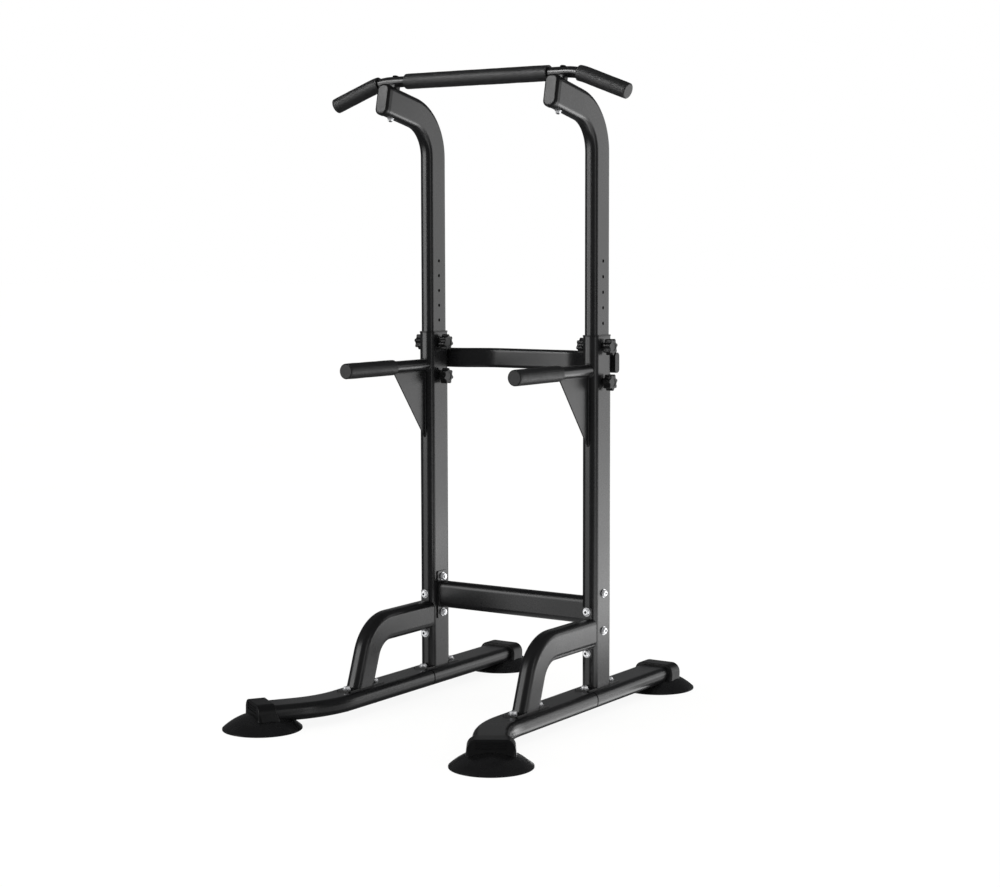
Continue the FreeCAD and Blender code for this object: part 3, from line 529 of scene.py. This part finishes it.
def weld_beads():
    """The welds of one side, then the same again mirrored."""
    low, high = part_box("upright_right")
    centre_x = (low.x + high.x) / 2
    half_x = (high.x - low.x) / 2
    tube_low, tube_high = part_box("guide_bushing_right")
    middle_y = (tube_low.y + tube_high.y) / 2
    half_y = (tube_high.y - tube_low.y) / 2 - BUSHING_LIP
    front = middle_y - half_y
    corner = TUBE_CORNER
    beads = []

    dip_low, dip_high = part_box("dip_handle_right")
    dip_radius = (dip_high.x - dip_low.x) / 2
    dip_z = (dip_low.z + dip_high.z) / 2
    saddle = []
    for step in range(HANDLE_BEAD_STEPS):
        angle = 2 * math.pi * step / HANDLE_BEAD_STEPS
        x = dip_radius * math.cos(angle)
        z = dip_radius * math.sin(angle)
        y = front + corner_depth(x, half_x, corner) - HANDLE_BEAD_LIFT
        saddle.append(Vector((centre_x + x, y, dip_z + z)))
    beads.append((saddle, HANDLE_BEAD, True))

    sheet_low, sheet_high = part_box("dip_gusset_right")
    for side in (sheet_low.x, sheet_high.x):
        upright_line = [Vector((side, front, sheet_low.z + GUSSET_SETBACK)),
                        Vector((side, front, dip_low.z))]
        handle_line = [Vector((side, front - GUSSET_SETBACK, dip_low.z)),
                       Vector((side, sheet_low.y + GUSSET_SETBACK, dip_low.z))]
        beads.append((upright_line, GUSSET_BEAD, False))
        beads.append((handle_line, GUSSET_BEAD, False))

    _, bar_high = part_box("crossbar")
    bar_end = Vector((bar_high.x - PLATE, middle_y, CROSSBAR_Z))
    beads.append((oval_loop(bar_end, Y, Z, CROSSBAR_HALF_Y, CROSSBAR_HALF_Z, CROSSBAR_CORNER),
                  CROSSBAR_BEAD, True))

    foot_low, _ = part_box("strut_right")
    foot = Vector((centre_x, middle_y + STRUT_FOOT_Y, foot_low.z + PLATE))
    top = Vector((centre_x, front, STRUT_Z))
    base = Vector((centre_x, middle_y, low.z + PLATE))
    for sign in (1, -1):
        beads.append((oval_end(foot, X, Y, half_x, STRUT_HALF_FOOT, corner, sign), TUBE_BEAD, False))
        coped = oval_end(top, X, Z, half_x, STRUT_HALF, corner, sign)
        for point in coped:
            point.y = front + corner_depth(point.x - centre_x, half_x, corner)
        beads.append((coped[COPE_POINTS:-COPE_POINTS], TUBE_BEAD, False))
        beads.append((oval_end(base, X, Y, half_x, half_y, corner, sign), TUBE_BEAD, False))

    for knob_z in KNOB_Z:
        for side in (low.x, high.x):
            ring = []
            for step in range(BOSS_STEPS):
                angle = 2 * math.pi * step / BOSS_STEPS
                y = middle_y + BOSS_RADIUS * math.cos(angle)
                z = knob_z + BOSS_RADIUS * math.sin(angle)
                ring.append(Vector((side, y, z)))
            beads.append((ring, BOSS_BEAD, True))

    bead_piece("weld_beads_right", beads, "base_frame")
    flipped = []
    for path, radius, closed in beads:
        flipped.append(([Vector((-p.x, p.y, p.z)) for p in path], radius, closed))
    bead_piece("weld_beads_left", flipped, "base_frame")


def side_grip_line(centre):
    """Points along the right side grip: the last part of the bar's bend, then straight to its tip."""
    fall = Vector((0, -math.sin(BAR_LEAN), -math.cos(BAR_LEAN)))
    bend_start = BAR_BEND_X - BAR_BEND_RADIUS * math.tan(BAR_DROP / 2)
    first_turn = math.asin((SIDE_GRIP_X - bend_start) / BAR_BEND_RADIUS)
    line = []
    for step in range(ARC_STEPS + 1):
        turn = first_turn + (BAR_DROP - first_turn) * step / ARC_STEPS
        along_x = bend_start + BAR_BEND_RADIUS * math.sin(turn)
        line.append(Vector((along_x, centre.y, centre.z)) + fall * BAR_BEND_RADIUS * (1 - math.cos(turn)))
    heading = X * math.cos(BAR_DROP) + fall * math.sin(BAR_DROP)
    line.append(line[-1] + heading * ((SIDE_GRIP_TIP_X - line[-1].x) / heading.x))
    return line


def foam_grips():
    first, last, outer, inner = axis_of("centre_grip", X)
    foam_sleeve("foam_centre", "centre_grip", [first, last], outer, inner, (False, False), "upper_frame")
    side_line = side_grip_line(first)
    for side, sign in (("right", 1), ("left", -1)):
        line = [Vector((sign * point.x, point.y, point.z)) for point in side_line]
        foam_sleeve("foam_side_" + side, "side_grip_" + side, line, outer, inner, (False, True),
                    "upper_frame")
        dip_first, dip_last, dip_outer, dip_inner = axis_of("dip_grip_" + side, Y)
        foam_sleeve("foam_dip_" + side, "dip_grip_" + side, [dip_first, dip_last], dip_outer, dip_inner,
                    (True, False), "base_frame")


# Studio

FLOOR_REACH = 60.0
FLOOR_GAP = 0.0005
MIRRORED_WORLD = 0.085


def floor():
    """A pale sheet just under the cups' rims."""
    mesh = bpy.data.meshes.new("floor")
    corners = [(-1, -1), (1, -1), (1, 1), (-1, 1)]
    mesh.from_pydata([(x * FLOOR_REACH, y * FLOOR_REACH, 0) for x, y in corners], [], [(0, 1, 2, 3)])
    plane = bpy.data.objects.new("floor", mesh)
    plane.location.z = -FLOOR_GAP
    bpy.context.collection.objects.link(plane)
    s = Shader("floor_paper", Specular_IOR_Level=0.0, Roughness=0.9,
               Emission_Color=(1.0, 1.0, 1.0, 1), Emission_Strength=0.9)
    s.link(s.blend_colours(s.noise(3.0, 2.0), (0.1, 0.1, 0.095), (0.11, 0.11, 0.105)), "Base Color")
    mesh.materials.append(s.material)
    plane.visible_glossy = False
    plane.visible_diffuse = False


def soft_light(name, position, target, size, radiance, spread=180):
    """Area light that faces `target`, set by how bright its face is, with its beam's angle."""
    data = bpy.data.lights.new(name, "AREA")
    data.shape = "RECTANGLE"
    data.size, data.size_y = size
    data.energy = radiance * math.pi * size[0] * size[1]
    data.spread = math.radians(spread)
    light = bpy.data.objects.new(name, data)
    light.location = position
    light.rotation_mode = "QUATERNION"
    light.rotation_quaternion = (Vector(target) - Vector(position)).to_track_quat("-Z", "Y")
    light.visible_camera = False
    bpy.context.collection.objects.link(light)


def world():
    """White for the backdrop and for the floor's light, and dim where gloss would mirror it."""
    made = bpy.data.worlds.new("studio")
    bpy.context.scene.world = made
    made.use_nodes = True
    tree = made.node_tree
    tree.nodes.clear()
    out = tree.nodes.new("ShaderNodeOutputWorld")
    mix = tree.nodes.new("ShaderNodeMixShader")
    bright = tree.nodes.new("ShaderNodeBackground")
    bright.inputs["Color"].default_value = (1.0, 1.0, 1.0, 1)
    bright.inputs["Strength"].default_value = 1.0
    dim = tree.nodes.new("ShaderNodeBackground")
    dim.inputs["Color"].default_value = (0.95, 0.97, 1.0, 1)
    dim.inputs["Strength"].default_value = MIRRORED_WORLD
    path = tree.nodes.new("ShaderNodeLightPath")
    tree.links.new(path.outputs["Is Glossy Ray"], mix.inputs["Fac"])
    tree.links.new(bright.outputs[0], mix.inputs[1])
    tree.links.new(dim.outputs[0], mix.inputs[2])
    tree.links.new(mix.outputs[0], out.inputs["Surface"])


def camera():
    """The photograph's camera, fitted to its lines."""
    data = bpy.data.cameras.new("camera")
    data.sensor_width = 36.0
    data.lens = 71.84
    data.shift_x = -0.0005
    data.shift_y = -0.0085
    data.clip_end = 200.0
    made = bpy.data.objects.new("camera", data)
    right = Vector((0.835337, 0.549733, -0.002245))
    ahead = Vector((-0.547593, 0.831710, -0.091658))
    up = right.cross(ahead)
    turn = Matrix((right, up, -ahead)).transposed()
    made.matrix_world = Matrix.Translation((3.24479, -4.82731, 1.35037)) @ turn.to_4x4()
    bpy.context.collection.objects.link(made)
    bpy.context.scene.camera = made


paint_cad_nodes()
foam_grips()
weld_beads()
floor()
world()

# Mirrored in the flats that face +X: one light behind, and the rest lying on the floor
soft_light("back_right", (3.76, 7.06, 0.7), (0, 0, 0.8), (6.0, 4.6), 1.62)
soft_light("low_right", (3.0, 2.5, 0.003), (3.0, 2.5, 1.0), (4.0, 7.0), 0.95)
soft_light("low_mid", (1.2, 1.2, 0.004), (1.2, 1.2, 1.0), (0.8, 3.6), 1.5)
soft_light("low_back", (1.4, 3.4, 0.004), (1.4, 3.4, 1.0), (2.8, 2.4), 6.5, 150)
soft_light("low_strip", (0.395, -0.1, 0.003), (0.395, -0.1, 1.0), (0.08, 1.1), 2.8)
soft_light("low_middle", (0.0, 0.2, 0.003), (0.0, 0.2, 1.0), (0.4, 1.5), 0.4)

# Mirrored in the faces that face the front
soft_light("front_left", (-2.4, -3.3, 1.45), (0, 0, 1.1), (1.3, 1.7), 3.0)
soft_light("front_high", (-2.3, -3.3, 4.0), (0.0, 0.0, 2.5), (2.2, 1.8), 0.75, 34)
soft_light("front_fill", (-2.8, -4.15, 1.0), (0, 0, 1.0), (2.3, 4.4), 1.45)

# Mirrored in the base tubes' tops, and in the round edges between front and right
soft_light("back_left", (-2.6, 4.4, 1.3), (0, 0, 0.4), (3.0, 2.6), 0.11)
soft_light("right", (3.86, -1.04, 0.8), (0, 0, 0.8), (0.9, 3.4), 1.4)

camera()
bpy.context.scene.view_settings.view_transform = "Standard"
